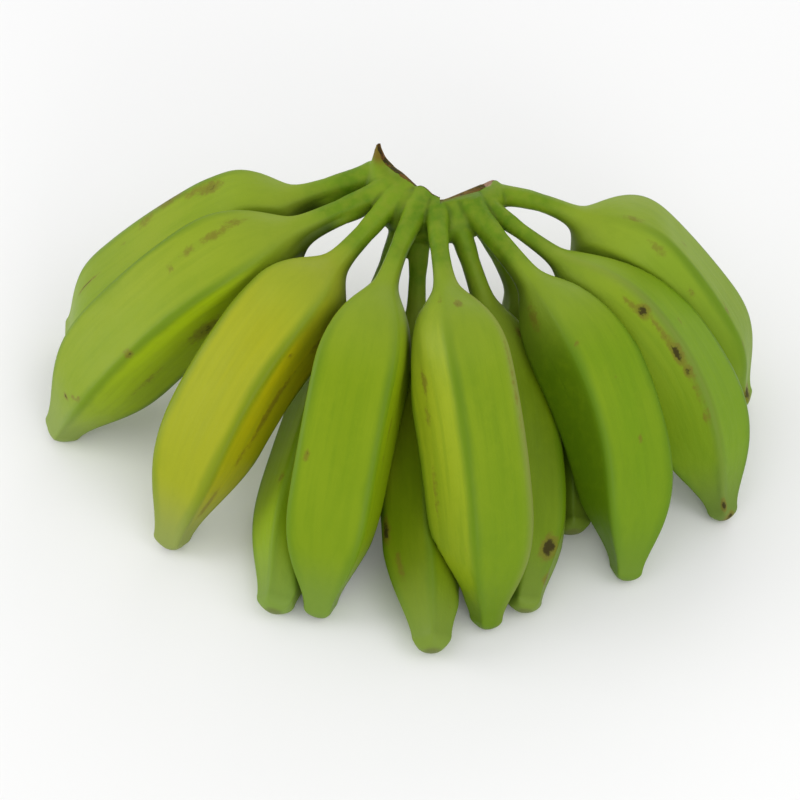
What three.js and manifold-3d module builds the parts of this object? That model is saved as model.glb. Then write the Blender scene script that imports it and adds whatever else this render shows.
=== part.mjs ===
// A hand of twelve green cooking plantains, as cut from the bunch.
//
// Nine fingers fan out in the upper row and three lie under them. Their pedicels grow out of one
// crown, the curved cushion that was cut from the stalk. The hand stands on the tips of its fingers
// with the crown on top. Units are millimetres, +Z is up, the ground is z = 0, and the origin lies
// under the middle of the hand's bounding box. Bearings are in degrees round the crown's upright
// axis: 0 points to -Y, the front, and positive turns to +X. Slopes are degrees above the level.

import * as THREE from 'three';
import { ConvexGeometry } from 'three/addons/geometries/ConvexGeometry.js';
import { mergeVertices } from 'three/addons/utils/BufferGeometryUtils.js';
import Module from 'manifold-3d';

// Driving dimensions of the whole hand
const CROWN_AXIS = [15, 87.5];         // where the crown's axis stands, x and y
const ROOT_RADIUS = 28;               // crown axis to where a pedicel leaves the cushion
const FUSED_LENGTH = 15;              // a pedicel's first stretch, one flesh with the crown
const JOINT_GAP = 0.3;                // clearance between a finger and the crown
const PRESS_GAP = 0.8;                // clearance where fingers lie against each other
const TIP_PRESS = 0.7;                // how deep a tip is flattened by standing on it
const LEAVE_REACH = 0.28;             // bend of a finger near the crown, share of its span
const DIVE_REACH = 0.50;              // bend of a finger towards its tip, share of its span
const NECK_EASE = 0.035;               // softness of the neck, share of the fruit
const NOSE_STARTS = 0.955;            // where a fruit begins to round off, share of the fruit
const FLARE = 0.35;                   // how much thicker a pedicel is at its foot, as a share
const FLARE_FADES = 5;                // and over how many millimetres that fades
const RIDGES_RISE = 0.3;              // over how much of the fruit its ridges rise, as a share
const DEEP_ENDS = 0.22;               // where the pedicel's deep underside has run out, share
const DEEP_GROWS = 0.5;               // how far that depth grows with the neck, as a share
const SWELLING = 2.6;                 // how quickly a fruit swells behind its neck
const TAPERING = 1.7;                 // how late it narrows to its nose
const NOSE_SLOPE = 0.35;              // how much of that narrowing is left at the nose, as a share

// Each finger: root [bearing, height], heading as it leaves the crown, tip [bearing, distance from
// the axis], heading at the tip, radius of the pedicel and how much deeper its underside is, how far
// from the cushion the fruit's neck is, share of the fruit over which it swells and share at which it
// starts to taper, radii of fruit and nose, and the angles of its ridges.
const FINGERS = {
  finger_front_1: { root: [-80, 99.3], leave: [-76, -5.5], tip: [-85, 166], dive: [-90, -51],
    stalk: 3.9, deep: 1.2, neck: 35, swell: 0.165, taper: 0.68, girth: 18.9, nose: 8.3,
    ridges: [38, 128, 220, 310], colour: 0x86a23c },
  finger_front_2: { root: [-56, 101], leave: [-64, -3.5], tip: [-68, 181], dive: [-68, -54],
    stalk: 3.6, deep: 2.2, neck: 40, swell: 0.24, taper: 0.58, girth: 20, nose: 7,
    ridges: [38, 128, 218, 308], colour: 0x8ca43a },
  finger_front_3: { root: [-42, 101], leave: [-35, -6], tip: [-41.8, 170], dive: [-30, -54],
    stalk: 3.4, deep: 0.3, neck: 39, swell: 0.18, taper: 0.52, girth: 18.5, nose: 6.8,
    ridges: [43, 133, 223, 313], colour: 0xa3a32c },
  finger_front_4: { root: [-18, 101], leave: [-22, -1], tip: [-17, 168], dive: [-15, -54],
    stalk: 3.5, deep: 0.2, neck: 39, swell: 0.27, taper: 0.6, girth: 20.3, nose: 7,
    ridges: [38, 128, 222, 320], colour: 0x7c951e },
  finger_front_5: { root: [0, 101], leave: [-1, 4], tip: [7, 167], dive: [0, -58],
    stalk: 3.3, deep: 0.3, neck: 39, swell: 0.23, taper: 0.6, girth: 20, nose: 6.5,
    ridges: [18, 88, 160, 235, 307], colour: 0x7e9722 },
  finger_front_6: { root: [16, 98], leave: [24, -40], tip: [12.5, 165], dive: [-4, -16],
    stalk: 3.6, deep: 0.3, neck: 38, swell: 0.34, taper: 0.6, girth: 18.8, nose: 7,
    ridges: [24, 96, 168, 240, 312], colour: 0x637e09 },
  finger_front_7: { root: [30, 101], leave: [37, -13], tip: [29, 163], dive: [-4, -55],
    stalk: 3.8, deep: 0.7, neck: 41, swell: 0.31, taper: 0.57, girth: 18.4, nose: 6.3,
    ridges: [31, 121, 210, 310], colour: 0x77931c },
  finger_front_8: { root: [45, 98.5], leave: [49, -11], tip: [47.5, 167], dive: [16, -46],
    stalk: 2.9, deep: 0.1, neck: 40, swell: 0.32, taper: 0.56, girth: 21, nose: 6,
    ridges: [11, 84, 157, 229, 300], colour: 0x769b2a },
  finger_front_9: { root: [66, 94.7], leave: [66, 22], tip: [69.5, 147], dive: [52, -48],
    stalk: 3.1, deep: 0.15, neck: 38, swell: 0.24, taper: 0.6, girth: 23.3, nose: 7,
    ridges: [15, 88, 160, 232, 304], colour: 0x8a9f38 },
  finger_back_1: { root: [-28, 92], leave: [-34, -52], tip: [-22.5, 176], dive: [-13, -12],
    stalk: 4.2, deep: 0.3, neck: 36, swell: 0.34, taper: 0.6, girth: 18.3, nose: 7.5,
    ridges: [19, 91, 163, 233, 305], colour: 0x6f8f22 },
  finger_back_2: { root: [-14, 90], leave: [-9, -54], tip: [-0.8, 181], dive: [3, -12],
    stalk: 3.3, deep: 0.2, neck: 36, swell: 0.34, taper: 0.6, girth: 17.5, nose: 7.5,
    ridges: [68, 140, 212, 284, 356], colour: 0x6c8416 },
  finger_back_3: { root: [41, 91], leave: [64, -52], tip: [25, 136], dive: [4, -12],
    stalk: 4.2, deep: 0.3, neck: 36, swell: 0.34, taper: 0.6, girth: 17, nose: 7.5,
    ridges: [0, 72, 144, 216, 288], colour: 0x62801a },
};
// How far out the ridges of a fruit reach and how sharp they are, by their number.
const RIDGED = { 4: { reach: 1.285, sharpness: 16 }, 5: { reach: 1.17, sharpness: 19 } };

// The crown's cushion, from its right end round to the horn at its left: [bearing, distance from
// the axis, half depth, half height, height of its middle].
const CUSHION = [
  [72, 26, 3, 4, 97],
  [62, 26, 7, 7, 95.5],
  [38, 26, 9.5, 9.5, 95],
  [0, 26, 9.5, 9.5, 94.5],
  [-30, 23.5, 11.5, 11, 95],
  [-55, 22.5, 11, 11, 96.5],
  [-74, 23.5, 7.5, 8.5, 99.5],
  [-86, 24.4, 3.0, 5, 106],
  [-92, 24, 1.9, 3, 111.3],
];

// The knife that parted the hand from the stalk went in twice, along the left arm and along the
// right, and leaned a little. Its track in plan, from the crown's axis, left to right:
const KNIFE_TRACK = [[-25, 10], [-22.5, 0], [-20, -3], [-2, -21], [0.7, -23.3], [2.5, -23.4],
  [4.5, -22.4], [20, -11.4], [28.5, -3.9]];
const KNIFE_SPAN = [73, 123];          // heights of the knife's foot and top
const KNIFE_MIDDLE = 104;              // height at which the knife follows its track
const KNIFE_LEAN = 0.15;               // how far the knife moves back for each millimetre down
// The torn upper edge beside the right arm's cut, a plane through three places from the crown's
// axis at their height: front left, front right and back right.
const TORN_EDGE = [[4.5, -22.9, 105], [21.8, -13.8, 103.4], [20, -11.4, 102.3]];

const TURN = Math.PI * 2;
const rad = THREE.MathUtils.degToRad;
const clamp = THREE.MathUtils.clamp;
const ease = (x) => THREE.MathUtils.smoothstep(x, 0, 1);

function heading(bearing, slope) {
  const level = Math.cos(rad(slope));
  return new THREE.Vector3(
    Math.sin(rad(bearing)) * level, -Math.cos(rad(bearing)) * level, Math.sin(rad(slope)));
}

function aroundCrown(bearing, distance, height) {
  const out = heading(bearing, 0).multiplyScalar(distance);
  return new THREE.Vector3(out.x + CROWN_AXIS[0], out.y + CROWN_AXIS[1], height);
}

// --- One finger as a curve with a radius ---

function centreline(finger, tipHeight) {
  const root = aroundCrown(finger.root[0], ROOT_RADIUS, finger.root[1]);
  const tip = aroundCrown(finger.tip[0], finger.tip[1], tipHeight);
  const span = root.distanceTo(tip);
  return new THREE.CubicBezierCurve3(
    root,
    root.clone().addScaledVector(heading(...finger.leave), span * LEAVE_REACH),
    tip.clone().addScaledVector(heading(...finger.dive), -span * DIVE_REACH),
    tip);
}

// How far along the fruit itself a place is: 0 at its neck, 1 at its tip.
function fruitShare(finger, distance, length) {
  return (distance - finger.neck) / (length - finger.neck);
}

// Radius of the round form at a distance along the centreline: pedicel, neck, fruit, nose.
function roundRadius(finger, distance, length) {
  const pedicel = finger.stalk * (1 + FLARE * Math.exp(-Math.max(distance, 0) / FLARE_FADES));
  const x = fruitShare(finger, distance, length);
  const eased = (x + Math.hypot(x, NECK_EASE)) / 2;
  const swell = 1 - (1 - clamp(eased / finger.swell, 0, 1)) ** SWELLING;
  const narrowing = clamp((x - finger.taper) / (NOSE_STARTS - finger.taper), 0, 1) ** TAPERING;
  const taper = THREE.MathUtils.lerp(ease(narrowing), narrowing, NOSE_SLOPE);
  const end = clamp((x - NOSE_STARTS) / (1 - NOSE_STARTS), 0, 1);
  const fruit = THREE.MathUtils.lerp(pedicel, finger.girth, swell);
  return THREE.MathUtils.lerp(fruit, finger.nose, taper) * Math.sqrt(1 - 0.96 * end * end);
}

// The ridged outline of a fruit, a polygon with rounded corners, as a share of its round radius.
function facetShare(finger, angle) {
  const ridges = finger.ridges.map(rad);
  const { reach, sharpness } = RIDGED[ridges.length];
  let sum = 0;
  ridges.forEach((ridge, i) => {
    const following = ridges[i + 1] ?? ridges[0] + TURN;
    const flat = reach * Math.cos((following - ridge) / 2);
    const across = Math.cos(angle - (ridge + following) / 2);
    sum += (Math.max(across, 0) / flat) ** sharpness;
  });
  return sum ** (-1 / sharpness);
}

// Radius of pedicel and fruit at an angle round them, with the pedicel's deeper underside.
function sectionRadius(finger, angle, station, length) {
  const x = fruitShare(finger, station.distance, length);
  const ridged = THREE.MathUtils.lerp(0.15, 1, ease(x / RIDGES_RISE + 0.08))
    * ease((1 - x) / 0.04 + 0.15);
  const deep = finger.deep * ease((station.distance - 2) / 20) * (1 - ease(x / DEEP_ENDS))
    * THREE.MathUtils.lerp(finger.stalk, station.radius, DEEP_GROWS);
  const under = Math.max(-Math.cos(angle), 0) ** 1.5;
  return station.radius * THREE.MathUtils.lerp(1, facetShare(finger, angle), ridged)
    + deep * under;
}

// Points along one finger, each with its distance, place, local axes and round radius.
function stations(finger, curve, distances) {
  const length = curve.getLength();
  return distances.map((distance) => {
    const u = clamp(distance / length, 0, 1);
    const along = curve.getTangentAt(u);
    const side = along.clone().cross(new THREE.Vector3(0, 0, 1)).normalize();
    return {
      distance, side, along,
      place: curve.getPointAt(u),
      over: side.clone().cross(along),
      radius: roundRadius(finger, distance, length),
    };
  });
}

function spread(from, to, count) {
  return Array.from({ length: count }, (_, i) => from + ((to - from) * i) / count);
}

// --- Neighbours press each other flat ---

// Distance from a point to the round form of a finger, negative inside it.
function distanceToFinger(point, samples) {
  let nearest = Infinity;
  for (const s of samples) nearest = Math.min(nearest, point.distanceTo(s.place) - s.radius);
  return nearest;
}

// How far out a surface point may go before it would cross halfway into a neighbour.
function pressLimit(station, direction, others) {
  let limit = Infinity;
  const point = new THREE.Vector3();
  for (const samples of others) {
    let low = 0;
    let high = station.radius * 1.5;
    const room = (r) => {
      point.copy(station.place).addScaledVector(direction, r);
      return distanceToFinger(point, samples) - PRESS_GAP - (r - station.radius);
    };
    if (room(high) > 0) continue;
    for (let step = 0; step < 12; step++) {
      const middle = (low + high) / 2;
      if (room(middle) > 0) low = middle; else high = middle;
    }
    limit = Math.min(limit, low);
  }
  return limit;
}

// --- Meshes ---

function closedTube(rings) {
  const sides = rings[0].length;
  const mean = (ring) => ring.reduce((sum, p) => sum.add(p), new THREE.Vector3())
    .divideScalar(ring.length);
  const points = [...rings.flat(), mean(rings[0]), mean(rings[rings.length - 1])];
  const index = [];
  for (let i = 0; i < rings.length - 1; i++) {
    for (let j = 0; j < sides; j++) {
      const a = i * sides + j;
      const b = i * sides + ((j + 1) % sides);
      index.push(a, b, b + sides, a, b + sides, a + sides);
    }
  }
  const start = rings.length * sides;
  const last = (rings.length - 1) * sides;
  for (let j = 0; j < sides; j++) {
    const next = (j + 1) % sides;
    index.push(start, next, j, start + 1, last + j, last + next);
  }
  const geometry = new THREE.BufferGeometry().setFromPoints(points);
  geometry.setIndex(index);
  return geometry;
}

// Angles round a finger: its ridges, and places between them.
function anglesRound(finger) {
  const between = finger.ridges.length === 4 ? 4 : 3;
  const ridges = finger.ridges.map(rad);
  return ridges.flatMap((ridge, i) => spread(ridge, ridges[i + 1] ?? ridges[0] + TURN, between));
}

function surfacePoint(station, angle, r) {
  return station.place.clone()
    .addScaledVector(station.over, r * Math.cos(angle))
    .addScaledVector(station.side, r * Math.sin(angle));
}

function fingerRings(finger, curve, others) {
  const length = curve.getLength();
  const at = (share) => finger.neck + (length - finger.neck) * share;
  const distances = [
    ...spread(FUSED_LENGTH + JOINT_GAP, at(0), 4),
    ...spread(at(0), at(0.2), 7),
    ...spread(at(0.2), at(0.7), 6),
    ...spread(at(0.7), at(NOSE_STARTS), 6),
    at(NOSE_STARTS), at(0.985), at(0.995), at(1),
  ];
  return stations(finger, curve, distances).map((station) => anglesRound(finger).map((angle) => {
    const direction = station.over.clone().multiplyScalar(Math.cos(angle))
      .addScaledVector(station.side, Math.sin(angle));
    const free = sectionRadius(finger, angle, station, length);
    const point = surfacePoint(station, angle, Math.min(free, pressLimit(station, direction, others)));
    point.z = Math.max(point.z, 0);
    return point;
  }));
}

// The tip's height that brings the finger's lowest point down to the ground.
function settledCurve(finger) {
  let height = 5;
  for (let round = 0; round < 5; round++) {
    const curve = centreline(finger, height);
    const length = curve.getLength();
    const low = Math.min(...stations(finger, curve, spread(length * 0.3, length, 60))
      .map((s) => s.place.z - s.radius * Math.hypot(s.over.z, s.side.z)));
    height -= low + TIP_PRESS;
  }
  return centreline(finger, height);
}

function paint(geometry, name, colour, roughness) {
  const mesh = new THREE.Mesh(geometry, new THREE.MeshStandardMaterial({
    name, color: colour, roughness, metalness: 0 }));
  mesh.name = name;
  return mesh;
}

// --- The crown ---

const wasm = await Module();
wasm.setup();

function toSolid(geometry) {
  const bare = geometry.clone();
  bare.deleteAttribute('normal');
  bare.deleteAttribute('uv');
  const merged = mergeVertices(bare);
  return new wasm.Manifold(new wasm.Mesh({
    numProp: 3,
    vertProperties: new Float32Array(merged.attributes.position.array),
    triVerts: new Uint32Array(merged.index.array),
  }));
}

function toGeometry(solid) {
  const mesh = solid.getMesh();
  const geometry = new THREE.BufferGeometry();
  geometry.setAttribute('position', new THREE.BufferAttribute(mesh.vertProperties, 3));
  geometry.setIndex(new THREE.BufferAttribute(mesh.triVerts, 1));
  return geometry;
}

// The cushion is a bent pad, lofted through its stations.
function cushion() {
  const sides = 12;
  const route = new THREE.CatmullRomCurve3(CUSHION.map(([bearing, out, , , up]) =>
    new THREE.Vector3(bearing, out, up)));
  const size = new THREE.CatmullRomCurve3(CUSHION.map(([, , depth, height]) =>
    new THREE.Vector3(depth, height, 0)));
  return closedTube([...spread(0, 1, 18), 1].map((t) => {
    const at = route.getPoint(t);
    const half = size.getPoint(t);
    return Array.from({ length: sides }, (_, j) => {
      const angle = (TURN * j) / sides;
      return aroundCrown(at.x, at.y + half.x * Math.cos(angle), at.z + half.y * Math.sin(angle));
    });
  }));
}

function fusedPedicel(finger, curve) {
  const sides = 12;
  const distances = [-10, ...spread(0, FUSED_LENGTH, 4), FUSED_LENGTH];
  const rings = stations(finger, curve, distances).map((station) => {
    station.place.addScaledVector(station.along, Math.min(station.distance, 0));
    return spread(0, TURN, sides).map((angle) => surfacePoint(station, angle,
      sectionRadius(finger, angle, station, curve.getLength())));
  });
  return closedTube(rings);
}

// The knife as an upright prism behind its track, leaning back towards its foot.
function knife() {
  const behind = [[28.5, 40], [-25, 40]];
  const track = [...KNIFE_TRACK, ...behind]
    .map(([right, back]) => new THREE.Vector2(right + CROWN_AXIS[0], back + CROWN_AXIS[1]));
  const [foot, top] = KNIFE_SPAN;
  const prism = new THREE.ExtrudeGeometry(new THREE.Shape(track),
    { depth: top - foot, bevelEnabled: false });
  const place = prism.attributes.position;
  for (let i = 0; i < place.count; i++) {
    const height = place.getZ(i) + foot;
    place.setY(i, place.getY(i) + (KNIFE_MIDDLE - height) * KNIFE_LEAN);
    place.setZ(i, height);
  }
  return prism;
}

// What was torn off above the edge's plane, a block that runs on in front of it.
function tornBlock() {
  const onward = 6;
  const thickness = 14;
  const [left, right, back] = TORN_EDGE.map(([x, y, z]) =>
    new THREE.Vector3(x + CROWN_AXIS[0], y + CROWN_AXIS[1], z));
  const forward = right.clone().sub(back).setLength(onward);
  const corners = [left.clone().add(forward), right.clone().add(forward), back.clone().sub(forward),
    left.clone().add(back).sub(right).sub(forward)];
  const above = corners.map((corner) => corner.clone().add(new THREE.Vector3(0, 0, thickness)));
  return new ConvexGeometry([...corners, ...above]);
}

function crownGeometry(curves) {
  let solid = toSolid(cushion());
  for (const [name, finger] of Object.entries(FINGERS)) {
    solid = solid.add(toSolid(fusedPedicel(finger, curves[name])));
  }
  return toGeometry(solid.subtract(toSolid(knife())).subtract(toSolid(tornBlock())));
}

// --- The hand ---

const curves = {};
const forms = {};
for (const [name, finger] of Object.entries(FINGERS)) {
  curves[name] = settledCurve(finger);
  const length = curves[name].getLength();
  forms[name] = stations(finger, curves[name], [...spread(FUSED_LENGTH, length, 60), length]);
}

const hand = new THREE.Group();
hand.name = 'plantain_hand';
hand.add(paint(crownGeometry(curves), 'crown', 0x738534, 0.6));
for (const [name, finger] of Object.entries(FINGERS)) {
  const others = Object.keys(FINGERS).filter((other) => other !== name).map((o) => forms[o]);
  const rings = fingerRings(finger, curves[name], others);
  hand.add(paint(closedTube(rings), name, finger.colour, 0.5));
}

export default hand;
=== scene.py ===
from math import cos, pi, radians, sin

import bmesh
import bpy
import numpy as np
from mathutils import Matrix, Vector


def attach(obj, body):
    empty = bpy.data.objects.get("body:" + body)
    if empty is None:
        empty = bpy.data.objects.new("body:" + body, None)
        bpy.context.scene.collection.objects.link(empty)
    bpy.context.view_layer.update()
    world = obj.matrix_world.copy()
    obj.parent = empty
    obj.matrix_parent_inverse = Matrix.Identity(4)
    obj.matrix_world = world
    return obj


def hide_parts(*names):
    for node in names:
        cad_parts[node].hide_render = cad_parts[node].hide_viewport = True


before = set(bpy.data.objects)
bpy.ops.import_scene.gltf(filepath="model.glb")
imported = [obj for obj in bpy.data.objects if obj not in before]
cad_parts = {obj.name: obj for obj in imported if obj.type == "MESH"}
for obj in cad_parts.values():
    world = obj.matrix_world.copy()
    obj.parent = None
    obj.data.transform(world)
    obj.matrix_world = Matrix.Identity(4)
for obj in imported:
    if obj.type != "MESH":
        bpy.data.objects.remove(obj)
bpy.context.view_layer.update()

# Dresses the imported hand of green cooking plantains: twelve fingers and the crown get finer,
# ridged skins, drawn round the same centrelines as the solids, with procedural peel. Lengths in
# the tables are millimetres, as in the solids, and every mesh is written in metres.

MM = 0.001
TURN = 2 * pi

# --- Driving dimensions, the same as the solids' ---

CROWN_AXIS = (15, 87.5)      # where the crown's axis stands, x and y
ROOT_RADIUS = 28.0           # crown axis to where a pedicel leaves the cushion
FUSED_LENGTH = 15.0          # a pedicel's first stretch, one flesh with the crown
JOINT_GAP = 0.3              # clearance between a finger and the crown
PRESS_GAP = 0.8              # clearance where fingers lie against each other
TIP_PRESS = 0.7              # how deep a tip is flattened by standing on it
LEAVE_REACH = 0.28           # bend of a finger near the crown, share of its span
DIVE_REACH = 0.50            # bend of a finger towards its tip, share of its span
FLARE, FLARE_FADES = 0.35, 5.0   # how much thicker a pedicel is at its foot, and over what length
NECK_EASE = 0.035            # softness of the neck, share of the fruit
NECK_RIDGED, RIDGES_LEAD = 0.15, 0.08   # how ridged a pedicel is, and how early its ridges start
RIDGES_RISE = 0.3            # over how much of the fruit its ridges rise
RIDGES_FALL, NOSE_RIDGED = 0.04, 0.15   # and how they end at the nose
DEEP_STARTS, DEEP_RUN = 2, 20           # where a pedicel's underside starts to deepen, over what
DEEP_ENDS = 0.22             # where on the fruit the deep underside has run out
DEEP_GROWS = 0.5             # how far that depth grows with the neck
DEEP_NARROWS = 1.5           # how narrow the deep underside is
SWELLING = 2.6               # how quickly a fruit swells behind its neck
TAPERING = 1.7               # how late it narrows to its nose
NOSE_STARTS = 0.955          # where a fruit begins to round off, share of the fruit
NOSE_SLOPE = 0.35            # how much of the narrowing is left at the nose
NOSE_ROUNDS = 0.96           # how far its end rounds in
RIDGED = {4: (1.285, 16), 5: (1.17, 19)}   # reach of four or five ridges and their sharpness

# Each finger: root (bearing, height), heading as it leaves the crown, tip (bearing, distance from
# the axis), heading at the tip, radius of the pedicel and how much deeper its underside is, how
# far from the cushion the fruit's neck is, share of the fruit over which it swells and share at
# which it starts to taper, radii of fruit and nose, and the angles of its ridges.
FINGERS = {
    "finger_front_1": dict(
        root=(-80, 99.3), leave=(-76, -5.5), tip=(-85, 166), dive=(-90, -51),
        stalk=3.9, deep=1.2, neck=35, swell=0.165, taper=0.68, girth=18.9, nose=8.3,
        ridges=(38, 128, 220, 310)),
    "finger_front_2": dict(
        root=(-56, 101), leave=(-64, -3.5), tip=(-68, 181), dive=(-68, -54),
        stalk=3.6, deep=2.2, neck=40, swell=0.24, taper=0.58, girth=20, nose=7,
        ridges=(38, 128, 218, 308)),
    "finger_front_3": dict(
        root=(-42, 101), leave=(-35, -6), tip=(-41.8, 170), dive=(-30, -54),
        stalk=3.4, deep=0.3, neck=39, swell=0.18, taper=0.52, girth=18.5, nose=6.8,
        ridges=(43, 133, 223, 313)),
    "finger_front_4": dict(
        root=(-18, 101), leave=(-22, -1), tip=(-17, 168), dive=(-15, -54),
        stalk=3.5, deep=0.2, neck=39, swell=0.27, taper=0.6, girth=20.3, nose=7,
        ridges=(38, 128, 222, 320)),
    "finger_front_5": dict(
        root=(0, 101), leave=(-1, 4), tip=(7, 167), dive=(0, -58),
        stalk=3.3, deep=0.3, neck=39, swell=0.23, taper=0.6, girth=20, nose=6.5,
        ridges=(18, 88, 160, 235, 307)),
    "finger_front_6": dict(
        root=(16, 98), leave=(24, -40), tip=(12.5, 165), dive=(-4, -16),
        stalk=3.6, deep=0.3, neck=38, swell=0.34, taper=0.6, girth=18.8, nose=7,
        ridges=(24, 96, 168, 240, 312)),
    "finger_front_7": dict(
        root=(30, 101), leave=(37, -13), tip=(29, 163), dive=(-4, -55),
        stalk=3.8, deep=0.7, neck=41, swell=0.31, taper=0.57, girth=18.4, nose=6.3,
        ridges=(31, 121, 210, 310)),
    "finger_front_8": dict(
        root=(45, 98.5), leave=(49, -11), tip=(47.5, 167), dive=(16, -46),
        stalk=2.9, deep=0.1, neck=40, swell=0.32, taper=0.56, girth=21, nose=6,
        ridges=(11, 84, 157, 229, 300)),
    "finger_front_9": dict(
        root=(66, 94.7), leave=(66, 22), tip=(69.5, 147), dive=(52, -48),
        stalk=3.1, deep=0.15, neck=38, swell=0.24, taper=0.6, girth=23.3, nose=7,
        ridges=(15, 88, 160, 232, 304)),
    "finger_back_1": dict(
        root=(-28, 92), leave=(-34, -52), tip=(-22.5, 176), dive=(-13, -12),
        stalk=4.2, deep=0.3, neck=36, swell=0.34, taper=0.6, girth=18.3, nose=7.5,
        ridges=(19, 91, 163, 233, 305)),
    "finger_back_2": dict(
        root=(-14, 90), leave=(-9, -54), tip=(-0.8, 181), dive=(3, -12),
        stalk=3.3, deep=0.2, neck=36, swell=0.34, taper=0.6, girth=17.5, nose=7.5,
        ridges=(68, 140, 212, 284, 356)),
    "finger_back_3": dict(
        root=(41, 91), leave=(64, -52), tip=(25, 136), dive=(4, -12),
        stalk=4.2, deep=0.3, neck=36, swell=0.34, taper=0.6, girth=17, nose=7.5,
        ridges=(0, 72, 144, 216, 288)),
}

# The crown's cushion: bearing, distance from the axis, half depth, half height, middle height.
CUSHION = [
    (72, 26, 3, 4, 97),
    (62, 26, 7, 7, 95.5),
    (38, 26, 9.5, 9.5, 95),
    (0, 26, 9.5, 9.5, 94.5),
    (-30, 23.5, 11.5, 11, 95),
    (-55, 22.5, 11, 11, 96.5),
    (-74, 23.5, 7.5, 8.5, 99.5),
    (-86, 24.4, 3.0, 5, 106),
    (-92, 24.0, 1.9, 3, 111.3),
]

# The knife that parted the hand from the stalk went in twice, along the left arm and along the
# right, and leaned a little. Its track in plan, from the crown's axis, left to right:
KNIFE_TRACK = [(-25, 10), (-22.5, 0), (-20, -3), (-2, -21), (0.7, -23.3), (2.5, -23.4),
               (4.5, -22.4), (20, -11.4), (28.5, -3.9)]
KNIFE_LEAN = 6
KNIFE_HEIGHT = 104
# The torn upper edge beside the cut: the plane through three places from the crown's axis at
# their height, and how far it runs to left and right.
TORN_EDGE = ((4.5, -22.9, 105), (21.8, -13.8, 103.4), (20, -11.4, 102.3)), (1, 24.5)


def unit(v):
    return v / np.linalg.norm(v, axis=-1, keepdims=True)


def ease(x):
    x = np.clip(x, 0, 1)
    return x * x * (3 - 2 * x)


def mix(a, b, share):
    return a + (b - a) * share


def heading(bearing, slope):
    level = cos(radians(slope))
    return np.array([sin(radians(bearing)) * level, -cos(radians(bearing)) * level,
                     sin(radians(slope))])


def around_crown(bearing, distance, height):
    x, y, _ = heading(bearing, 0) * distance
    return np.array([x + CROWN_AXIS[0], y + CROWN_AXIS[1], height])


# --- One finger as a curve with a radius ---


class Centreline:
    """A cubic curve from the crown to the tip, read by distance along it."""

    SAMPLES = 801    # points that the curve is worked out at
    REACH = 0.4      # how far to either side its direction is taken

    def __init__(self, finger, tip_height):
        root = around_crown(finger["root"][0], ROOT_RADIUS, finger["root"][1])
        tip = around_crown(finger["tip"][0], finger["tip"][1], tip_height)
        span = np.linalg.norm(tip - root)
        knots = (root, root + heading(*finger["leave"]) * span * LEAVE_REACH,
                 tip - heading(*finger["dive"]) * span * DIVE_REACH, tip)
        t = np.linspace(0, 1, self.SAMPLES)[:, None]
        self.points = ((1 - t) ** 3 * knots[0] + 3 * (1 - t) ** 2 * t * knots[1]
                       + 3 * (1 - t) * t ** 2 * knots[2] + t ** 3 * knots[3])
        steps = np.linalg.norm(np.diff(self.points, axis=0), axis=1)
        self.at = np.concatenate([[0], np.cumsum(steps)])
        self.length = self.at[-1]

    def point(self, distance):
        return np.stack([np.interp(distance, self.at, self.points[:, k]) for k in range(3)], -1)

    def axes(self, distance):
        """The local directions along the finger, over it and to its side."""
        inner = np.clip(distance, self.REACH, self.length - self.REACH)
        along = unit(self.point(inner + self.REACH) - self.point(inner - self.REACH))
        side = unit(np.cross(along, (0, 0, 1)))
        return along, np.cross(side, along), side


def fruit_share(finger, at, length):
    """How far along the fruit itself a place is: 0 at its neck, 1 at its tip."""
    return (at - finger["neck"]) / (length - finger["neck"])


def round_radius(finger, at, length):
    """The radius of a finger before its ridges."""
    pedicel = finger["stalk"] * (1 + FLARE * np.exp(-np.maximum(at, 0) / FLARE_FADES))
    x = fruit_share(finger, at, length)
    eased = (x + np.hypot(x, NECK_EASE)) / 2
    swell = 1 - (1 - np.clip(eased / finger["swell"], 0, 1)) ** SWELLING
    narrowing = np.clip((x - finger["taper"]) / (NOSE_STARTS - finger["taper"]), 0, 1) ** TAPERING
    taper = mix(ease(narrowing), narrowing, NOSE_SLOPE)
    end = np.clip((x - NOSE_STARTS) / (1 - NOSE_STARTS), 0, 1)
    fruit = mix(pedicel, finger["girth"], swell)
    return mix(fruit, finger["nose"], taper) * np.sqrt(1 - NOSE_ROUNDS * end ** 2)


def facet_share(finger, angle):
    """The ridged outline of a fruit, as a share of its round radius."""
    ridges = np.radians(finger["ridges"])
    reach, sharpness = RIDGED[len(ridges)]
    total = 0
    for ridge, following in zip(ridges, [*ridges[1:], ridges[0] + TURN]):
        flat = reach * cos((following - ridge) / 2)
        across = np.cos(angle - (ridge + following) / 2)
        total = total + (np.maximum(across, 0) / flat) ** sharpness
    return total ** (-1 / sharpness)


def section(finger, angle, at, length):
    """The radius of pedicel and fruit at an angle round them, with the pedicel's deep underside."""
    x = fruit_share(finger, at, length)
    ridged = mix(NECK_RIDGED, 1, ease(x / RIDGES_RISE + RIDGES_LEAD)) \
        * ease((1 - x) / RIDGES_FALL + NOSE_RIDGED)
    deep = finger["deep"] * ease((at - DEEP_STARTS) / DEEP_RUN) * (1 - ease(x / DEEP_ENDS))
    under = np.maximum(-np.cos(angle), 0) ** DEEP_NARROWS
    return round_radius(finger, at, length) * mix(1, facet_share(finger, angle), ridged) \
        + mix(finger["stalk"], round_radius(finger, at, length), DEEP_GROWS) * deep * under


FIRST_HEIGHT, SETTLING_ROUNDS = 5.0, 5     # of a tip, and how often it is set right
LOWEST_FROM, LOWEST_SAMPLES = 0.3, 60      # where along a finger its lowest place is looked for


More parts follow.
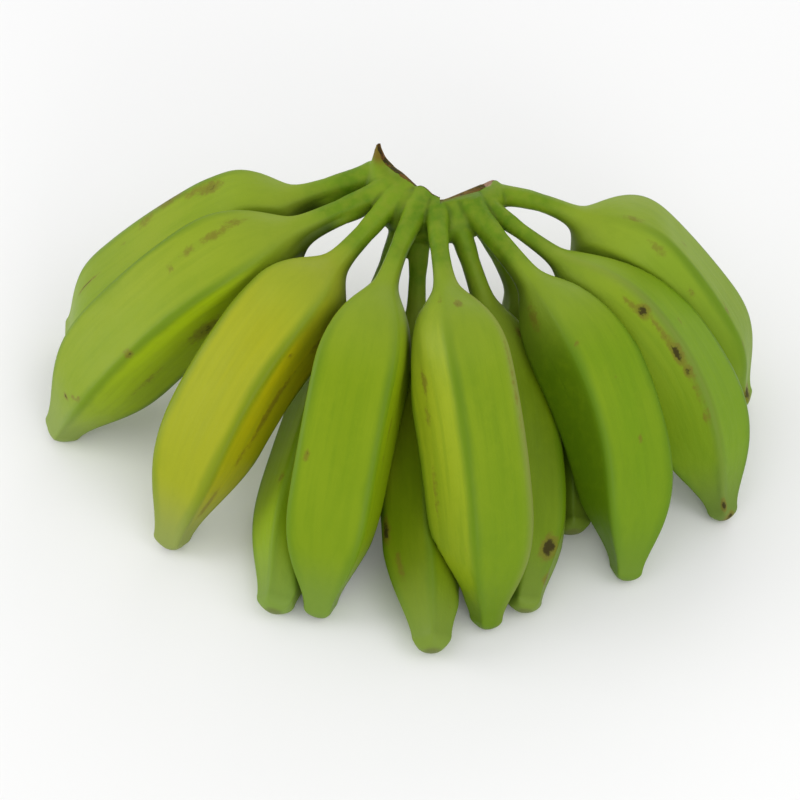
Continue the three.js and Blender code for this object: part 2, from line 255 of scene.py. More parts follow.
def settled(finger):
    """The centreline whose finger just reaches the ground."""
    height = FIRST_HEIGHT
    for _ in range(SETTLING_ROUNDS):
        line = Centreline(finger, height)
        at = np.linspace(line.length * LOWEST_FROM, line.length, LOWEST_SAMPLES, endpoint=False)
        _, over, side = line.axes(at)
        radius = round_radius(finger, at, line.length)
        low = (line.point(at)[:, 2] - radius * np.hypot(over[:, 2], side[:, 2])).min()
        height -= low + TIP_PRESS
    return Centreline(finger, height)


FORM_SAMPLES = 61
LINES = {name: settled(finger) for name, finger in FINGERS.items()}
FORMS = {}
for name, line in LINES.items():
    at = np.linspace(FUSED_LENGTH, line.length, FORM_SAMPLES)
    FORMS[name] = (line.point(at), round_radius(FINGERS[name], at, line.length))

# In radii: the limit where nothing is near, and how far out a neighbour is looked for
FREE_REACH, SEARCH_REACH = 1.6, 1.5
HALVINGS = 13
PRESS_SOFTNESS = 1.2


def press_limit(name, place, direction, radius):
    """How far out each surface point may go before it is halfway into a neighbour."""
    limit = radius * FREE_REACH
    for other, (centres, sizes) in FORMS.items():
        if other == name:
            continue

        def room(rows, r):
            points = place[rows] + direction[rows] * r[:, None]
            apart = np.linalg.norm(points[:, None] - centres[None], axis=2) - sizes
            return apart.min(axis=1) - PRESS_GAP - (r - radius[rows])

        everyone = np.arange(len(place))
        rows = everyone[room(everyone, radius * SEARCH_REACH) < 0]
        low, high = np.zeros(len(rows)), radius[rows] * SEARCH_REACH
        for _ in range(HALVINGS):
            middle = (low + high) / 2
            free = room(rows, middle) > 0
            low, high = np.where(free, middle, low), np.where(free, high, middle)
        limit[rows] = np.minimum(limit[rows], low)
    return limit


def soft_min(a, b, width):
    """The smaller of the two, rounded over where they are alike."""
    share = np.clip(0.5 + 0.5 * (b - a) / width, 0, 1)
    return mix(b, a, share) - width * share * (1 - share)


# --- The peel's relief ---

FREE_START = FUSED_LENGTH + JOINT_GAP     # where a finger starts, along its centreline
RINGS, SIDES = ((150, 80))
CREST_HEIGHT, CREST_WIDTH = 0.35, 1.5
CREST_STARTS, CREST_ENDS, CREST_RUN = -0.03, 1.02, 0.2    # in shares of the fruit
LUMP_HEIGHT, LUMP_WAVES, LUMPS_RISE = 0.28, 7, 30
FACET_EDGE, FACET_ANGLE = 3, 1.7       # a facet's soft edge, and how far round it reaches, radians
# Extra rings at the neck and at the nose: how many, over what length; the neck's sit a bit behind
NECK_RINGS, NECK_RINGS_LENGTH, NECK_RINGS_SHIFT = 1.5, 14, 6
NOSE_RINGS, NOSE_RINGS_LENGTH = 4, 6
# Painted shade on a pedicel's underside: how far round it reaches, where it ends on the fruit,
# how dark it is at least and how it darkens with the underside's depth, and where it starts
UNDER_SPREAD, UNDER_ENDS, UNDER_FADES = 0.7, -0.02, 0.16
UNDER_LEAST, UNDER_DEEPENS = 0.35, 0.6
UNDER_STARTS, UNDER_RUN = 4, 8
# A painted highlight, a pale line along one ridge: its width, and for two fingers the ridge
HIGHLIGHT_WIDTH = 1.8
HIGHLIGHT_RIDGES = {"finger_front_5": (307, 1.0), "finger_front_8": (11, 0.45)}   # angle, strength


def lumps(around, along, seed):
    """Slow, shallow unevenness of a surface in its own coordinates, within -1 to 1."""
    rng = np.random.default_rng(seed)
    total = 0
    for _ in range(LUMP_WAVES):
        turns, waves = rng.integers(1, 4), rng.uniform(0.03, 0.10)
        total = total + np.sin(turns * around + waves * along + rng.uniform(0, TURN))
    return total / LUMP_WAVES


def turned_from(angle, degrees):
    """Signed angle from a direction given in degrees."""
    return (angle - radians(degrees) + pi) % TURN - pi


def ridge_offset(finger, angle):
    """Angle to the nearest ridge."""
    return np.min([np.abs(turned_from(angle, ridge)) for ridge in finger["ridges"]], axis=0)


def side_facet(turned, radius):
    """1 on the facet that begins where the angle turned is 0, fading out across the next ridge."""
    return ease(turned * radius / FACET_EDGE + 0.2) * ease((FACET_ANGLE - turned) / 0.3)


def ring_distances(finger, line):
    """Rings crowd at the neck and at the nose, where the form turns fastest."""
    t = np.linspace(0, 1, RINGS)
    body = FREE_START + (line.length - FREE_START) * t
    past_neck = body - finger["neck"] - NECK_RINGS_SHIFT
    density = 1 + NECK_RINGS * np.exp(-(past_neck / NECK_RINGS_LENGTH) ** 2) \
        + NOSE_RINGS * np.exp(-((line.length - body) / NOSE_RINGS_LENGTH) ** 2)
    run = np.cumsum(density)
    run = (run - run[0]) / (run[-1] - run[0])
    return np.interp(np.linspace(0, 1, RINGS), run, body)


def finger_mesh(name, seed):
    """A finger's surface points, ring by ring, and what its peel needs to know at each."""
    finger, line = FINGERS[name], LINES[name]
    at = np.repeat(ring_distances(finger, line), SIDES)
    angle = np.tile(np.arange(SIDES) * TURN / SIDES, RINGS) + radians(finger["ridges"][0])
    place = line.point(at)
    _, over, side = line.axes(at)
    direction = over * np.cos(angle)[:, None] + side * np.sin(angle)[:, None]
    radius = round_radius(finger, at, line.length)
    share = fruit_share(finger, at, line.length)
    r = section(finger, angle, at, line.length)
    across = ridge_offset(finger, angle) * radius
    crest = np.exp(-(across / CREST_WIDTH) ** 2)
    crest_fade = ease((share - CREST_STARTS) / CREST_RUN) * ease((CREST_ENDS - share) / CREST_RUN)
    r = r + CREST_HEIGHT * crest * crest_fade
    r = r + LUMP_HEIGHT * lumps(angle, at, seed) * ease((at - FREE_START) / LUMPS_RISE)
    r = soft_min(r, press_limit(name, place, direction, radius), PRESS_SOFTNESS)
    points = place + direction * r[:, None]
    points[:, 2] = np.maximum(points[:, 2], 0)

    peel = np.stack([np.cos(angle) * radius, np.sin(angle) * radius, at], -1)
    # Masks of the two side facets, which take painted light and shade
    right, left = [side_facet(turn * turned_from(angle, ridge), radius) * crest_fade
                   for turn, ridge in ((-1, finger["ridges"][-1]), (1, finger["ridges"][0]))]
    # A painted highlight along one ridge
    highlight_ridge, strength = HIGHLIGHT_RIDGES.get(name, (0, 0))
    ridge_highlight = turned_from(angle, highlight_ridge) * radius
    ridge_highlight = np.exp(-(ridge_highlight / HIGHLIGHT_WIDTH) ** 2) * strength
    # Mask of the painted shade under the pedicel, stronger where its underside is deep
    under = np.clip(UNDER_SPREAD - np.cos(angle), 0, 1) \
        * (1 - ease((share - UNDER_ENDS) / UNDER_FADES)) \
        * min(UNDER_LEAST + UNDER_DEEPENS * finger["deep"], 1) \
        * ease((at - FREE_START - UNDER_STARTS) / UNDER_RUN)
    return points, dict(peel=peel, ridge=across, fade=crest_fade, share=share, right=right,
                        left=left, ridge_highlight=ridge_highlight, under=under, angle=angle, radius=radius)


def tube_mesh(name, points, rings, sides):
    """A closed tube from rows of points, with a centre point in each end."""
    ends = [points[:sides].mean(axis=0), points[-sides:].mean(axis=0)]
    points = np.vstack([points, ends])
    faces = []
    for i in range(rings - 1):
        for j in range(sides):
            a, b = i * sides + j, i * sides + (j + 1) % sides
            faces.append((a, b, b + sides, a + sides))
    first, last = rings * sides, (rings - 1) * sides
    for j in range(sides):
        k = (j + 1) % sides
        faces.append((first, k, j))
        faces.append((first + 1, last + j, last + k))
    mesh = bpy.data.meshes.new(name)
    mesh.from_pydata((points * MM).tolist(), [], faces)
    mesh.shade_smooth()
    return mesh


def add_attribute(mesh, name, values, kind="FLOAT"):
    """Writes one number or vector a point."""
    values = np.asarray(values, dtype=np.float32)
    attribute = mesh.attributes.new(name, kind, "POINT")
    attribute.data.foreach_set("value" if kind == "FLOAT" else "vector", values.ravel())


def with_ends(values, sides):
    """The values with one more for each of a tube's end points, the mean of its ring."""
    return np.concatenate([values, [values[:sides].mean(axis=0)], [values[-sides:].mean(axis=0)]])


# --- Marks on the peel ---

# Each mark: share along the fruit, angle round it, length, width and strength.
MARKS = {
    "finger_front_1": [(0.20, 23, 9, 5, 0.68), (0.25, 28, 12, 3, 0.55), (0.36, 38, 14, 4, 0.68),
                       (0.45, 30, 9, 4, 0.5), (0.74, 2, 14, 0.9, 0.85), (0.55, 20, 4, 2, 0.4)],
    "finger_front_2": [(0.13, 15, 9, 4, 0.52), (0.18, 8, 12, 4, 0.58), (0.26, 8, 6, 4, 0.52),
                       (0.32, 1, 1.3, 6, 0.85), (0.53, -51, 3, 2.4, 0.95), (0.35, -104, 16, 7, 0.7),
                       (0.81, -20, 1.7, 4, 0.9), (0.78, -35, 1.7, 2.4, 0.85),
                       (0.76, -44, 2.4, 1.4, 0.8), (0.6, -104, 20, 4, 0.4)],
    "finger_front_3": [(0.27, -62, 1.8, 1.8, 0.85), (0.45, -96, 34, 4, 0.62),
                       (0.8, -80, 16, 4, 0.6), (0.2, -100, 12, 4, 0.5), (0.62, -88, 12, 3, 0.5)],
    "finger_front_4": [(0.50, 30, 4, 1.5, 0.8), (0.4, -70, 10, 2.5, 0.5), (0.48, -66, 3, 2, 0.55),
                       (0.62, 44, 10, 1.5, 0.4), (0.2, 50, 8, 2, 0.4)],
    "finger_front_5": [(0.07, -6, 3, 3, 0.7), (0.25, 62, 11, 2.5, 0.58), (0.34, 66, 8, 2, 0.55),
                       (0.55, 70, 24, 1.6, 0.58), (0.3, -49, 40, 1.6, 0.4),
                       (0.72, 30, 6, 1.2, 0.45), (0.05, 25, 4, 2, 0.4)],
    "finger_front_6": [(0.81, -36, 7.5, 5, 1.0), (0.12, -35, 6, 3, 0.7), (0.9, -60, 6, 5, 0.7)],
    "finger_front_7": [(0.54, -14, 3, 2, 0.65), (0.23, 24, 2, 2, 0.6), (0.1, 70, 10, 6, 0.5),
                       (0.36, -5, 2, 2, 0.4)],
    "finger_front_8": [(0.255, 21, 5, 3.4, 0.97), (0.22, 25, 8, 2.2, 0.62),
                       (0.31, 20, 9, 1.8, 0.6), (0.35, 20, 6, 2.4, 0.72),
                       (0.41, 19, 10, 2.7, 1.0), (0.475, 18, 6, 2.3, 0.95),
                       (0.62, 18, 7, 1.5, 0.85), (0.54, 18, 14, 1.8, 0.5), (0.36, -12, 3, 2, 0.5),
                       (0.94, 11, 5, 1.8, 0.9), (0.985, -19, 4, 4, 0.85)],
    "finger_front_9": [(0.94, 2, 8, 5, 0.95), (0.40, 30, 5, 2.5, 0.5), (0.2, 26, 8, 3, 0.55),
                       (0.55, 8, 9, 2.5, 0.5), (0.3, -10, 4, 4, 0.45), (0.1, 8, 6, 2.5, 0.5),
                       (0.7, 12, 6, 2, 0.45)],
    "finger_back_1": [(0.62, 27, 5, 3, 0.6)],
    "finger_back_2": [(0.65, 61, 10, 3, 0.9), (0.76, 48, 13, 2.5, 0.55)],
}


def mark_field(name, data):
    """A smooth bump over each mark, above 0 inside it."""
    finger = FINGERS[name]
    length = LINES[name].length - finger["neck"]
    field = np.zeros(len(data["share"]))
    for share, turn, long, wide, strength in MARKS.get(name, []):
        along = (data["share"] - share) * length / (long / 2)
        across = turned_from(data["angle"], turn) * data["radius"] / (wide / 2)
        field = np.maximum(field, strength * np.exp(-0.5 * (along ** 2 + across ** 2)))
    return field


# --- Materials ---


class Nodes:
    """A short way to write a shader: every call adds one node and returns its output."""

    def __init__(self, name):
        self.material = bpy.data.materials.new(name)
        self.material.use_nodes = True
        self.tree = self.material.node_tree
        self.shader = self.tree.nodes["Principled BSDF"]

    def add(self, kind, inputs=(), output=0, **settings):
        node = self.tree.nodes.new("ShaderNode" + kind)
        for key, value in settings.items():
            setattr(node, key, value)
        for key, value in dict(inputs).items():
            self.put(node.inputs[key], value)
        return node.outputs[output]

    def put(self, socket, value):
        if isinstance(value, bpy.types.NodeSocket):
            self.tree.links.new(value, socket)
        elif socket.type == "RGBA" and len(value) == 3:
            socket.default_value = (*value, 1)
        else:
            socket.default_value = value

    def attribute(self, name, output="Fac"):
        return self.add("Attribute", output=output, attribute_name=name)

    def math(self, operation, a, b):
        return self.add("Math", {0: a, 1: b, 2: 0.0}, operation=operation)

    def scaled(self, value, by, plus):
        return self.add("Math", {0: value, 1: by, 2: plus}, operation="MULTIPLY_ADD")

    def step(self, value, low, high):
        """0 at low, 1 at high, eased between."""
        return self.add("MapRange", {0: value, 1: low, 2: high, 3: 0.0, 4: 1.0},
                        interpolation_type="SMOOTHSTEP")

    def fall(self, value, low, high):
        """1 at low, 0 at high, eased between."""
        return self.math("SUBTRACT", 1.0, self.step(value, low, high))

    def noise(self, vector, scale, detail=3.0, rough=0.55):
        return self.add("TexNoise", {"Vector": vector, "Scale": scale, "Detail": detail,
                                     "Roughness": rough})

    def stretch(self, vector, scale, shift=(0, 0, 0)):
        return self.add("Mapping", {"Vector": vector, "Scale": scale, "Location": shift})

    def blend(self, a, b, factor):
        node = self.tree.nodes.new("ShaderNodeMix")
        node.data_type = "RGBA"
        self.put(node.inputs[0], factor)
        self.put(node.inputs[6], a)
        self.put(node.inputs[7], b)
        return node.outputs[2]

    def cover(self, under, over, where, strength):
        """One colour laid over another where a mask says, as strongly as given."""
        return self.blend(under, over, self.math("MULTIPLY", where, strength))

    def bump(self, height, distance, strength, normal=None):
        inputs = {"Height": height, "Distance": distance, "Strength": strength}
        if normal is not None:
            inputs["Normal"] = normal
        return self.add("Bump", inputs)


def linear(hex_colour):
    """A hex colour as linear light."""
    parts = [int(hex_colour[i:i + 2], 16) / 255 for i in (0, 2, 4)]
    return tuple(c / 12.92 if c <= 0.04045 else ((c + 0.055) / 1.055) ** 2.4 for c in parts)


STEM_GREEN, STEM_DARK, STEM_OLIVE = linear("6f8c19"), linear("57790d"), linear("7d8d23")
BROWN, DARK_BROWN = linear("6f5f1e"), linear("2b2010")
# The second green here is painted shade, laid under the pedicels and in the crown's valleys
RIDGE_GREEN, PAINTED_SHADE_GREEN = linear("4d7010"), linear("1d2f08")
# The first colour here is a painted highlight along a ridge
PAINTED_RIDGE_HIGHLIGHT, HORN = linear("98925a"), linear("6c5c1a")
RUST, SCAR, NECK_GREEN = linear("6a4317"), linear("a5826c"), linear("869a2e")
NOSE_SCAR, FLESH_DARK, FLESH_PALE = linear("5b5a34"), linear("5a4420"), linear("8c7a3c")
SPECULAR = 0.12

# How fine each noise is, in waves a metre: on the peel, then on stem and crown
DRIFT, STREAKS, MOTTLE, WANDER, SPECKS, PATCHES = 38.0, 300.0, 190.0, 120.0, 520.0, 60.0
FRAYING, GLOSS, PORES, STRIAE = 420.0, 150.0, 900.0, 420.0
STEM_SLOW, STEM_FINE = 55.0, 260.0
CROWN_FRAYING, RUSTING, FIBRES, CROWN_PORES = 500.0, 330.0, 700.0, 700.0
# The greener line along a ridge, in metres: how far it wanders, and between what it fades
RIDGE_WANDERS, RIDGE_EDGE = 0.0028, (0.0004, 0.0034)


def stem_colour(n, place):
    """The colour of the crown and the pedicels, laid over the whole hand alike."""
    slow = n.step(n.noise(place, STEM_SLOW), 0.35, 0.65)
    fine = n.step(n.noise(place, STEM_FINE, 4.0), 0.35, 0.7)
    colour = n.blend(STEM_DARK, STEM_GREEN, slow)
    return n.cover(colour, STEM_OLIVE, fine, 0.45)


def peel_material(name, seed, main, warm, shade, right, left, nose):
    """Peel, stem to nose: facets in painted light and shade, streaks and mottling, ridges, neck,
    then marks.
    """
    n = Nodes("peel_" + name)
    peel = n.attribute("peel", "Vector")
    ridge, fade, share = n.attribute("ridge"), n.attribute("fade"), n.attribute("share")
    mark, near_nose = n.attribute("mark"), n.step(share, 0.74, 1.0)
    shift = (seed * 0.37, seed * 0.21, seed * 0.53)
    place = n.stretch(peel, (1, 1, 1), shift)
    streaked = n.stretch(peel, (1, 1, 0.07), shift)
    long_drift = n.stretch(peel, (1, 1, 0.35), shift)

    drift = n.step(n.noise(long_drift, DRIFT, 2.0), 0.36, 0.64)
    colour = n.cover(main, warm, drift, 0.7)
    # Painted light and shade: the side facets in lighter and darker greens, as light falls on them
    colour = n.cover(colour, right, n.attribute("right"), 0.85)
    colour = n.cover(colour, left, n.attribute("left"), 0.8)
    streaks = n.step(n.noise(streaked, STREAKS, 4.0), 0.42, 0.66)
    colour = n.cover(colour, shade, streaks, 0.26)
    mottle = n.step(n.noise(place, MOTTLE, 5.0, 0.65), 0.45, 0.7)
    colour = n.cover(colour, warm, mottle, 0.25)
    wander = n.scaled(n.noise(long_drift, WANDER, 3.0), RIDGE_WANDERS, -RIDGE_WANDERS / 2)
    off_ridge = n.math("ADD", ridge, wander)
    green = n.math("MULTIPLY", n.fall(off_ridge, *RIDGE_EDGE), fade)
    colour = n.cover(colour, RIDGE_GREEN, green, 0.6)
    # Painted highlight: a pale line along one ridge
    colour = n.cover(colour, PAINTED_RIDGE_HIGHLIGHT, n.attribute("ridge_highlight"), 0.55)
    # Painted shade: the fruit darker towards its nose, where it turns down away from the light
    colour = n.cover(colour, shade, n.step(share, 0.3, 0.8), 0.4)
    colour = n.cover(colour, nose, near_nose, 0.7)
    neck = n.math("MULTIPLY", n.step(share, -0.14, -0.02), n.fall(share, 0.08, 0.3))
    stem = n.fall(share, -0.1, 0.03)
    space = n.add("TexCoord", output="Object")
    colour = n.blend(colour, stem_colour(n, space), stem)
    colour = n.cover(colour, NECK_GREEN, neck, 0.5)
    # Painted shade under the pedicel, where shade falls below it
    colour = n.cover(colour, PAINTED_SHADE_GREEN, n.attribute("under"), 0.8)

    specks = n.step(n.noise(place, SPECKS, 2.0, 0.7), 0.74, 0.79)
    patches = n.step(n.noise(place, PATCHES), 0.5, 0.6)
    specks = n.math("MULTIPLY", specks, patches)
    colour = n.cover(colour, BROWN, specks, 0.7)
    ragged = n.math("ADD", mark, n.scaled(n.noise(place, FRAYING, 5.0, 0.7), 0.9, -0.45))
    scar = n.step(ragged, 0.6, 0.82)
    colour = n.cover(colour, BROWN, n.step(ragged, 0.2, 0.55), 0.62)
    colour = n.cover(colour, DARK_BROWN, scar, 0.85)
    colour = n.cover(colour, NOSE_SCAR, n.step(share, 0.992, 1.0), 0.6)
    n.put(n.shader.inputs["Base Color"], colour)

    gloss = n.scaled(n.noise(place, GLOSS, 4.0), 0.16, 0.40)
    n.put(n.shader.inputs["Roughness"], n.scaled(scar, 0.25, gloss))
    n.put(n.shader.inputs["Specular IOR Level"], SPECULAR)
    fine = n.bump(n.noise(place, PORES, 4.0), 0.00012, 0.5)
    striae = n.bump(n.noise(streaked, STRIAE, 3.0), 0.00022, 0.6, fine)
    n.put(n.shader.inputs["Normal"], n.bump(scar, 0.0003, -0.5, striae))
    return n.material


def crown_material():
    """Green skin with painted shade in its valleys, a brown horn, a rusty dried edge and the
    fibrous cut.
    """
    n = Nodes("crown_skin")
    space = n.add("TexCoord", output="Object")
    cut, band = n.attribute("cut"), n.attribute("band")
    colour = stem_colour(n, space)
    # Painted shade in the crown's valleys, where the pedicels meet
    colour = n.cover(colour, PAINTED_SHADE_GREEN, n.attribute("valley"), 0.42)
    colour = n.blend(colour, HORN, n.attribute("horn"))
    ragged = n.scaled(n.noise(space, CROWN_FRAYING, 4.0), 1.6, -0.8)
    edge = n.math("ADD", band, ragged)
    rusty = n.blend(RUST, DARK_BROWN, n.step(n.noise(space, RUSTING, 4.0), 0.42, 0.62))
    dry = n.step(edge, -0.25, 0.2)
    colour = n.cover(colour, rusty, dry, 0.9)
    scarred = n.step(n.math("ADD", n.attribute("scar"), n.math("MULTIPLY", ragged, 0.3)), 0.45, 0.7)
    colour = n.cover(colour, SCAR, scarred, 0.85)
    fibres = n.noise(n.stretch(space, (1, 1, 0.12)), FIBRES, 5.0, 0.7)
    flesh = n.blend(FLESH_DARK, FLESH_PALE, n.step(fibres, 0.35, 0.7))
    colour = n.blend(colour, flesh, cut)
    n.put(n.shader.inputs["Base Color"], colour)
    n.put(n.shader.inputs["Roughness"], n.scaled(n.math("MAXIMUM", cut, dry), 0.25, 0.5))
    n.put(n.shader.inputs["Specular IOR Level"], SPECULAR)
    skin = n.bump(n.noise(space, CROWN_PORES, 4.0), 0.00015, 0.6)
    rough_cut = n.math("MULTIPLY", fibres, n.math("MAXIMUM", cut, dry))
    n.put(n.shader.inputs["Normal"], n.bump(rough_cut, 0.001, 0.8, skin))
    return n.material


# --- The fingers ---

# Colours of each finger: main, warm, shade (streaks, and painted shade towards the nose), right
# facet, left facet, nose. The two facet colours are lit and shaded copies of the green, painted
# light and shade; the right facet is also yellower.
GREENS = {
    "finger_front_1": ("7c9414", "8a9a20", "68840c", "7a900a", "7f9a1e", "82944e"),
    "finger_front_2": ("829618", "8a9a1e", "6c860c", "9cb408", "829a1c", "7e8e50"),
    "finger_front_3": ("989c14", "9aa01e", "848e18", "b4aa08", "96a018", "7c8a54"),
    "finger_front_4": ("728b0a", "7e9412", "607f07", "92aa0a", "90a21c", "6c863a"),
    "finger_front_5": ("6f8a09", "7e9412", "5c7b06", "668204", "95a31c", "52700f"),
    "finger_front_6": ("6a8206", "78900a", "597503", "7c980a", "4a6206", "6c8232"),
    "finger_front_7": ("6a8a08", "76900f", "597a07", "6a8806", "4c6a08", "607c28"),
    "finger_front_8": ("70900f", "7a9616", "5d800a", "6c8a0a", "7c9414", "5f7238"),
    "finger_front_9": ("7a9418", "82981e", "64820c", "7a9412", "7a961c", "6e8c24"),
    "finger_back_1": ("8aa61a", "92a61e", "76900f", "90a81a", "8aa61a", "66803c"),
    "finger_back_2": ("6c820a", "7c8e10", "5a7206", "7e940a", "748808", "6f8636"),
    "finger_back_3": ("5a7204", "687c09", "4a6203", "5a7204", "4a6203", "5a6e20"),
}


def link(mesh, name):
    piece = bpy.data.objects.new(name, mesh)
    bpy.context.scene.collection.objects.link(piece)
    return piece


for seed, name in enumerate(FINGERS, start=1):
    points, data = finger_mesh(name, seed)
    mesh = tube_mesh(name + "_skin", points, RINGS, SIDES)
    add_attribute(mesh, "peel", with_ends(data["peel"] * MM, SIDES), "FLOAT_VECTOR")
    add_attribute(mesh, "ridge", with_ends(data["ridge"] * MM, SIDES))
    for key in ("share", "fade", "right", "left", "ridge_highlight", "under"):
        add_attribute(mesh, key, with_ends(data[key], SIDES))
    add_attribute(mesh, "mark", with_ends(mark_field(name, data), SIDES))
    mesh.materials.append(peel_material(name, seed, *map(linear, GREENS[name])))
    piece = link(mesh, name + "_skin")
    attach(piece, "root")
    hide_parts(name)

# --- The crown: cushion and fused pedicels grown together, then cut ---

PAD_ROWS, PAD_SIDES = 70, 40
SLEEVE_SIDES, SLEEVE_STATIONS = 28, 26
SLEEVE_FADES, SLEEVE_END = 14, 25.0    # where a pedicel's sleeve starts to thin, and its end
SLEEVE_EXTRA = 0.45                    # how far it stands out before, and dips in after
WEB, WEB_FADES = 0.6, 8                # flesh that fills the corners between the pedicels
PRESS_FROM, PRESS_RUN = 5, 8           # where neighbours start to press a sleeve
VOXEL = 0.7
SOFTENING = 6
HOLLOW_PASSES = 25
HOLLOW_DEPTH = 0.5
CUT_NEAR = 0.12                        # what lies closer than this to the knife is cut face
SCAR_PLACE, SCAR_WIDTH, SCAR_DEPTH = 21.5, 2.6, 4.5
HORN_STARTS, HORN_RUN = 106.8, 3       # heights between which the horn turns brown
BLOCK_SIZE, BLOCK_CENTRE = 0.2, (0.015, 0.13, 0.12)   # the block that a cut is carved from, metres
# Width of the dry brown edge of the cut at places across the crown, from its axis
BAND_WIDTHS = [(-26, 1.0), (-22, 2.9), (-13, 2.8), (-9, 1.4), (-6, 0.35), (3, 0.35), (6, 1.4),
               (10, 2.4), (16, 4.2), (19, 3.4), (24, 1.2)]


def catmull(rows, count):
    """Rows of numbers, smoothly interpolated."""
    rows = np.array(rows, dtype=float)
    padded = np.vstack([2 * rows[0] - rows[1], rows, 2 * rows[-1] - rows[-2]])
    out = []
    for t in np.linspace(0, len(rows) - 1, count):
        i = min(int(t), len(rows) - 2)
        u = t - i
        a, b, c, d = padded[i:i + 4]
        out.append(0.5 * (2 * b + (c - a) * u + (2 * a - 5 * b + 4 * c - d) * u * u
                          + (3 * b - a - 3 * c + d) * u ** 3))
    return np.array(out)


def crown_parts():
    """The cushion and the pedicels' fused first stretches, as tubes that run into each other."""
    rows = catmull(CUSHION, PAD_ROWS)
    turns = np.arange(PAD_SIDES) * TURN / PAD_SIDES
    pad = np.array([[around_crown(bearing, out + depth * cos(a), up + height * sin(a))
                     for a in turns] for bearing, out, depth, height, up in rows])
    yield pad.reshape(-1, 3), len(rows), PAD_SIDES
    for name, finger in FINGERS.items():
        line = LINES[name]
        stations = np.concatenate([[-10, -6, -3], np.linspace(0, SLEEVE_END, SLEEVE_STATIONS)])
        at = np.repeat(stations, SLEEVE_SIDES)
        angle = np.tile(np.arange(SLEEVE_SIDES) * TURN / SLEEVE_SIDES, len(stations))
        along, over, side = line.axes(np.maximum(at, 0))
        centre = line.point(np.maximum(at, 0)) + along * np.minimum(at, 0)[:, None]
        web = WEB * np.exp(-np.maximum(at, 0) / WEB_FADES)
        thinned = np.clip((at - SLEEVE_FADES) / (SLEEVE_END - SLEEVE_FADES), 0, 1)
        sleeve = mix(SLEEVE_EXTRA, -SLEEVE_EXTRA, thinned)
        direction = over * np.cos(angle)[:, None] + side * np.sin(angle)[:, None]
        r = section(finger, angle, at, line.length)
        limit = press_limit(name, centre, direction, round_radius(finger, at, line.length))
        pressed = soft_min(r, limit, PRESS_SOFTNESS)
        r = mix(r, pressed, ease((at - PRESS_FROM) / PRESS_RUN)) + web + sleeve
        yield centre + direction * r[:, None], len(stations), SLEEVE_SIDES


def apply_modifiers(piece):
    """Writes what the modifiers make into the piece's own mesh."""
    graph = bpy.context.evaluated_depsgraph_get()
    made = bpy.data.meshes.new_from_object(piece.evaluated_get(graph))
    piece.modifiers.clear()
    piece.data = made


def from_axis(right, back, height):
    return np.array([right + CROWN_AXIS[0], back + CROWN_AXIS[1], height])


def knife_planes():
    """The knife as places and outward directions of its faces; what is behind them all is cut."""
    lean = radians(KNIFE_LEAN)
    for a, b in zip(KNIFE_TRACK, KNIFE_TRACK[1:]):
        run = unit(np.subtract(b, a))
        yield from_axis(*a, KNIFE_HEIGHT), (run[1] * cos(lean), -run[0] * cos(lean), -sin(lean))


def torn_planes(places, reach):
    """The torn edge as such faces: the plane through its places, and its two ends."""
    a, b, c = [from_axis(*place) for place in places]
    down = unit(np.cross(b - a, c - a))
    yield a, down if down[2] < 0 else -down
    yield from_axis(reach[0], 0, 0), (-1, 0, 0)
    yield from_axis(reach[1], 0, 0), (1, 0, 0)


def cut_away(piece, planes):
    """Takes from the piece everything that is behind all of the planes."""
    block = bmesh.new()
    bmesh.ops.create_cube(block, size=BLOCK_SIZE)
    bmesh.ops.translate(block, verts=block.verts, vec=BLOCK_CENTRE)
    for place, outward in planes:
        everything = block.verts[:] + block.edges[:] + block.faces[:]
        cut = bmesh.ops.bisect_plane(block, geom=everything, plane_co=np.array(place) * MM,
                                     plane_no=outward, clear_outer=True)["geom_cut"]
        bmesh.ops.contextual_create(block, geom=cut)
    knife = link(bpy.data.meshes.new("knife"), "knife")
    block.to_mesh(knife.data)
    block.free()
    stroke = piece.modifiers.new("cut", "BOOLEAN")
    stroke.operation, stroke.object, stroke.solver = "DIFFERENCE", knife, "EXACT"
    apply_modifiers(piece)
    bpy.data.objects.remove(knife)


def hollows(mesh, places, normals):
    """How far the surface lies below its own smoothed form: near 1 in the valleys."""
    pairs = np.empty(len(mesh.edges) * 2, dtype=int)
    mesh.edges.foreach_get("vertices", pairs)
    a, b = pairs.reshape(-1, 2).T
    count = np.bincount(a, minlength=len(places)) + np.bincount(b, minlength=len(places))
    smooth = places.copy()
    for _ in range(HOLLOW_PASSES):
        total = np.zeros_like(smooth)
        for axis in range(3):
            total[:, axis] = np.bincount(a, smooth[b, axis], len(places)) \
                + np.bincount(b, smooth[a, axis], len(places))
        smooth = total / count[:, None]
    return np.clip(((smooth - places) * normals).sum(axis=1) / HOLLOW_DEPTH, 0, 1)


def outside(points, planes):
    """How far points are from the cut, 0 on it."""
    return np.max([(points - place) @ np.array(outward) for place, outward in planes], axis=0)


crown = link(bpy.data.meshes.new("crown_skin"), "crown_skin")
grown = bmesh.new()
for points, rings, sides in crown_parts():
    grown.from_mesh(tube_mesh("part", points, rings, sides))
grown.to_mesh(crown.data)
grown.free()
remesh = crown.modifiers.new("grow_together", "REMESH")
remesh.mode, remesh.voxel_size = "VOXEL", VOXEL * MM
smooth = crown.modifiers.new("soften", "SMOOTH")
smooth.factor, smooth.iterations = 0.5, SOFTENING
apply_modifiers(crown)
strokes = [list(knife_planes()), list(torn_planes(*TORN_EDGE))]
for planes in strokes:
    cut_away(crown, planes)

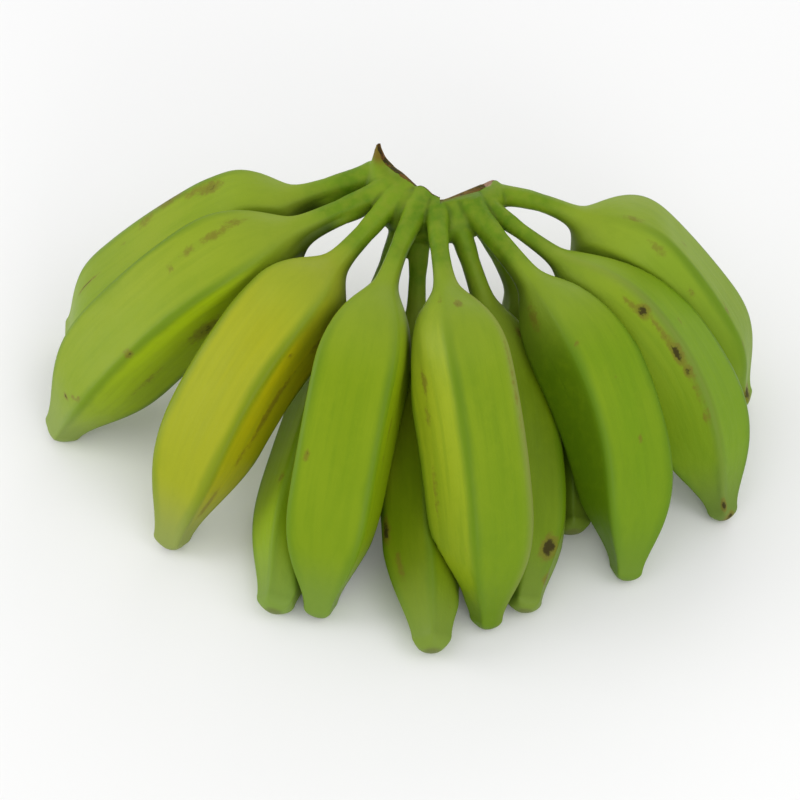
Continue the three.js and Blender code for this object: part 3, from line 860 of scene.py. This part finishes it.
mesh = crown.data
mesh.shade_smooth()
places = np.empty(len(mesh.vertices) * 3)
mesh.vertices.foreach_get("co", places)
places = places.reshape(-1, 3) / MM
normals = np.empty(len(mesh.vertices) * 3)
mesh.vertices.foreach_get("normal", normals)
from_knife = np.abs(outside(places, strokes[0]))
across = places[:, 0] - CROWN_AXIS[0]
add_attribute(mesh, "cut", (from_knife < CUT_NEAR).astype(float))
add_attribute(mesh, "band", np.interp(across, *zip(*BAND_WIDTHS)) - from_knife)
scar = np.exp(-((across - SCAR_PLACE) / SCAR_WIDTH) ** 2 - (from_knife / SCAR_DEPTH) ** 2)
add_attribute(mesh, "scar", scar)
add_attribute(mesh, "horn", ease((places[:, 2] - HORN_STARTS) / HORN_RUN))
# How deep each place lies in a hollow: the mask of the painted shade in the valleys
add_attribute(mesh, "valley", hollows(mesh, places, normals.reshape(-1, 3)))
mesh.materials.clear()
mesh.materials.append(crown_material())
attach(crown, "root")
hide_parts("crown")

# --- Floor, light and camera ---

FLOOR_REACH, FLOOR_COLOUR = 15, (0.86, 0.86, 0.86)
WORLD_STRENGTH = 0.82

corners = [(-1, -1), (1, -1), (1, 1), (-1, 1)]
floor_mesh = bpy.data.meshes.new("floor")
floor_mesh.from_pydata([(x * FLOOR_REACH, y * FLOOR_REACH, 0) for x, y in corners], [],
                       [(0, 1, 2, 3)])
floor = link(floor_mesh, "floor")
n = Nodes("floor")
n.put(n.shader.inputs["Base Color"], FLOOR_COLOUR)
n.put(n.shader.inputs["Roughness"], 0.9)
floor_mesh.materials.append(n.material)

scene = bpy.context.scene
scene.view_settings.view_transform = "Standard"
world = bpy.data.worlds.new("studio")
world.use_nodes = True
sky = world.node_tree.nodes["Background"]
sky.inputs["Color"].default_value = (1.0, 1.0, 1.0, 1)
sky.inputs["Strength"].default_value = WORLD_STRENGTH
scene.world = world

SOFTBOX_SIZE, SOFTBOX_TARGET = 0.8, Vector((0, 0, 0.04))


def softbox(name, place, power):
    light = bpy.data.lights.new(name, "AREA")
    light.shape, light.size, light.energy = "DISK", SOFTBOX_SIZE, power
    lamp = bpy.data.objects.new(name, light)
    lamp.location = place
    lamp.rotation_euler = (SOFTBOX_TARGET - Vector(place)).to_track_quat("-Z", "Y").to_euler()
    scene.collection.objects.link(lamp)


softbox("left", (-1.25, 0.05, 0.4), 7)
softbox("front", (0.45, -1.2, 0.4), 5)
softbox("right", (0.75, -0.35, 0.95), 2)
softbox("back", (0.35, 1.15, 0.5), 2.5)

VIEW_ELEVATION, VIEW_DISTANCE = 52.0, 0.793
LENS, SENSOR, CLIP_START = 85.0, 36.0, 0.01
LOOK_AT = Vector((-0.0005, 0.0055, 0.045))
camera = bpy.data.objects.new("camera", bpy.data.cameras.new("camera"))
camera.data.lens, camera.data.sensor_width, camera.data.clip_start = LENS, SENSOR, CLIP_START
view = Vector((0, cos(radians(VIEW_ELEVATION)), -sin(radians(VIEW_ELEVATION))))
camera.location = LOOK_AT - view * VIEW_DISTANCE
camera.rotation_euler = view.to_track_quat("-Z", "Y").to_euler()
scene.collection.objects.link(camera)
scene.camera = camera
